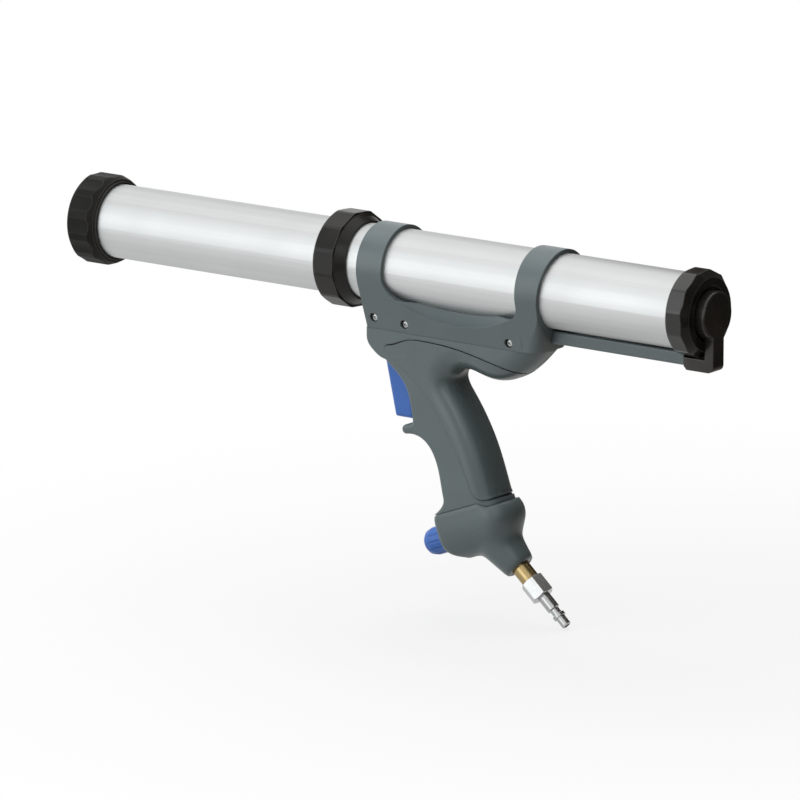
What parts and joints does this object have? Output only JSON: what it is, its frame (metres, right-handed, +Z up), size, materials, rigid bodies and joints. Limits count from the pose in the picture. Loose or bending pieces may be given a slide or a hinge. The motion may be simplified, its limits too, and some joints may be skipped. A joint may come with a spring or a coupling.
{
  "type": "pneumatic caulking tool",
  "caption": "Air-driven caulking tool: aluminium barrel with screw cap, piston-driven plunger, pistol handle with trigger valve, regulator base and angled air inlet plug.",
  "frame": {"origin": "centre of the nozzle bore, in the front face of the front cap", "axes": "+X out of the nozzle along the barrel, +Y to the left side of the tool, +Z up, away from the handle"},
  "size_m": [0.5528, 0.069, 0.2781],
  "materials": {
    "tube": "satin anodised",
    "turned_aluminium": "turned",
    "black_cap": "matte black",
    "black_ring": "satin black",
    "grey_body": "fine grain slate grey",
    "grey_cover": "fine grain slate grey",
    "blue": "satin blue",
    "seal": "matte black",
    "brass": "turned",
    "bright_steel": "ground",
    "zinc_steel": "zinc plated",
    "spring_steel": "drawn wire",
    "plated_steel": "nickel plated",
    "air_pipe": "smooth black nylon"
  },
  "bodies": {
    "tool": {"front_barrel": "tube", "rear_cylinder": "tube", "bulkhead": "turned_aluminium", "regulator_piston": "turned_aluminium", "rear_end_cap": "black_cap", "barrel_collar": "black_ring", "rear_ring": "black_ring", "barrel_cradle": "grey_body", "air_channel": "grey_body", "handle_body": "grey_body", "base_housing": "grey_body", "grip_cover": "grey_cover", "bulkhead_seal": "seal", "rod_seal": "seal", "end_cap_seal": "seal", "stem_seal": "seal", "foot_seal": "seal", "rod_bush": "brass", "valve_body": "brass", "regulator_bonnet": "brass", "inlet_adaptor": "brass", "trigger_pin": "bright_steel", "cradle_screws": "zinc_steel", "valve_spring": "spring_steel", "regulator_spring": "spring_steel", "hose_plug": "plated_steel", "supply_pipe": "air_pipe", "delivery_pipe": "air_pipe"},
    "seat": {"nozzle_seat": "turned_aluminium"},
    "cap": {"front_cap": "black_cap"},
    "plunger": {"plunger_disc": "turned_aluminium", "rod_nuts": "zinc_steel", "piston_rod": "bright_steel", "air_piston": "turned_aluminium", "piston_cup": "seal"},
    "trigger": {"trigger": "blue"},
    "stem": {"valve_stem": "bright_steel"},
    "knob": {"regulator_knob": "blue", "regulator_spindle": "bright_steel"},
    "follower": {"spring_follower": "brass"}
  },
  "joints": [
    {"name": "seat_slide", "type": "slide", "parent": "tool", "child": "seat", "axis": [1, 0, 0], "range_m": [0, 0.015]},
    {"name": "cap_turn", "type": "hinge", "parent": "seat", "child": "cap", "pos_m": [0, 0, 0], "axis": [1, 0, 0], "range_deg": [0, 1800]},
    {"name": "plunger_slide", "type": "slide", "parent": "tool", "child": "plunger", "axis": [1, 0, 0], "range_m": [0, 0.205]},
    {"name": "trigger_pull", "type": "hinge", "parent": "tool", "child": "trigger", "pos_m": [-0.288, 0, -0.06], "axis": [0, 1, 0], "range_deg": [0, 9], "stiffness_Nm_per_rad": 2, "springref_deg": -8.59},
    {"name": "stem_slide", "type": "slide", "parent": "tool", "child": "stem", "axis": [-1, 0, 0], "range_m": [0, 0.0045], "deforming": ["valve_spring"]},
    {"name": "knob_turn", "type": "hinge", "parent": "tool", "child": "knob", "pos_m": [-0.35667, 0, -0.18007], "axis": [0.9336, 0, -0.3584], "range_deg": [0, 1080]},
    {"name": "follower_slide", "type": "slide", "parent": "tool", "child": "follower", "axis": [-0.9336, 0, 0.3584], "range_m": [0, 0.0046], "deforming": ["regulator_spring"]}
  ],
  "couplings": [
    {"joint": "seat_slide", "follows": "cap_turn", "m_per_rad": 0.00047746},
    {"joint": "stem_slide", "follows": "trigger_pull", "m_per_rad": 0.0278},
    {"joint": "follower_slide", "follows": "knob_turn", "m_per_rad": 0.00023873}
  ]
}
